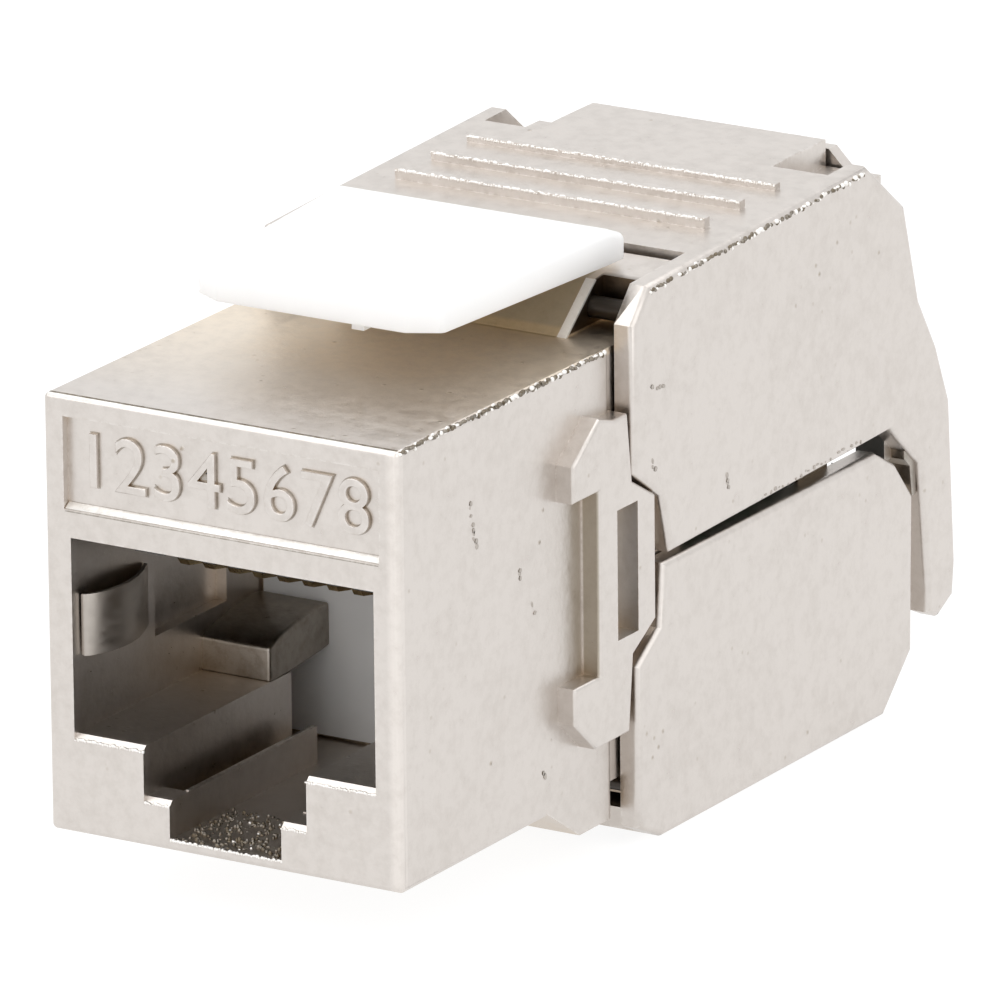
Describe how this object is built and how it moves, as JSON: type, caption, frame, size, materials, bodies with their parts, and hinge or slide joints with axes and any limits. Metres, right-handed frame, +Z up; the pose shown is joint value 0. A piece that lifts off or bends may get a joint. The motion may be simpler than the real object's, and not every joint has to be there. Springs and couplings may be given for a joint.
{
  "type": "keystone jack",
  "caption": "Shielded modular jack insert with a stepped plug port, a sprung panel latch, side ears and two hinged rear covers that press wires into blades.",
  "frame": {"origin": "centre of the flat port face at the front of the housing", "axes": "+Y from the port face to the cable, +Z up towards the panel latch, +X across the port to the right as seen from the front"},
  "size_m": [0.016, 0.0373, 0.0219],
  "materials": {
    "nickel": "satin nickel plate on a die casting",
    "steel": "bright",
    "spring_steel": "satin",
    "gold": "bright gold plate",
    "tin": "satin tin plate",
    "white_plastic": "semi-gloss",
    "grey_plastic": "matte",
    "dark_plastic": "matte",
    "board": "solder mask"
  },
  "bodies": {
    "housing": {"front_housing": "nickel", "upper_hinge_pin_left": "steel", "upper_hinge_pin_right": "steel", "lower_hinge_pin_left": "steel", "lower_hinge_pin_right": "steel", "latch_foot": "white_plastic", "contact_carrier": "dark_plastic", "contact_comb": "dark_plastic", "contact_1": "gold", "contact_2": "gold", "contact_3": "gold", "contact_4": "gold", "contact_5": "gold", "contact_6": "gold", "contact_7": "gold", "contact_8": "gold", "ground_spring_left": "spring_steel", "ground_spring_right": "spring_steel", "circuit_board": "board", "upper_idc_block": "dark_plastic", "lower_idc_block": "dark_plastic", "idc_contact_1": "tin", "idc_contact_2": "tin", "idc_contact_3": "tin", "idc_contact_4": "tin", "idc_contact_5": "tin", "idc_contact_6": "tin", "idc_contact_7": "tin", "idc_contact_8": "tin"},
    "upper_cover": {"upper_cover": "nickel", "upper_wire_cap": "grey_plastic"},
    "lower_cover": {"lower_cover": "nickel", "lower_wire_cap": "grey_plastic"},
    "latch": {"panel_latch": "white_plastic"}
  },
  "joints": [
    {"name": "upper_cover_hinge", "type": "hinge", "parent": "housing", "child": "upper_cover", "pos_m": [0, 0.0163, 0.0087], "axis": [1, 0, 0], "range_deg": [0, 85]},
    {"name": "lower_cover_hinge", "type": "hinge", "parent": "housing", "child": "lower_cover", "pos_m": [0, 0.0163, -0.0087], "axis": [1, 0, 0], "range_deg": [-85, 0]},
    {"name": "latch_flex", "type": "hinge", "parent": "housing", "child": "latch", "pos_m": [0, 0.0176, 0.0103], "axis": [1, 0, 0], "range_deg": [0, 9], "stiffness_Nm_per_rad": 0.3}
  ]
}
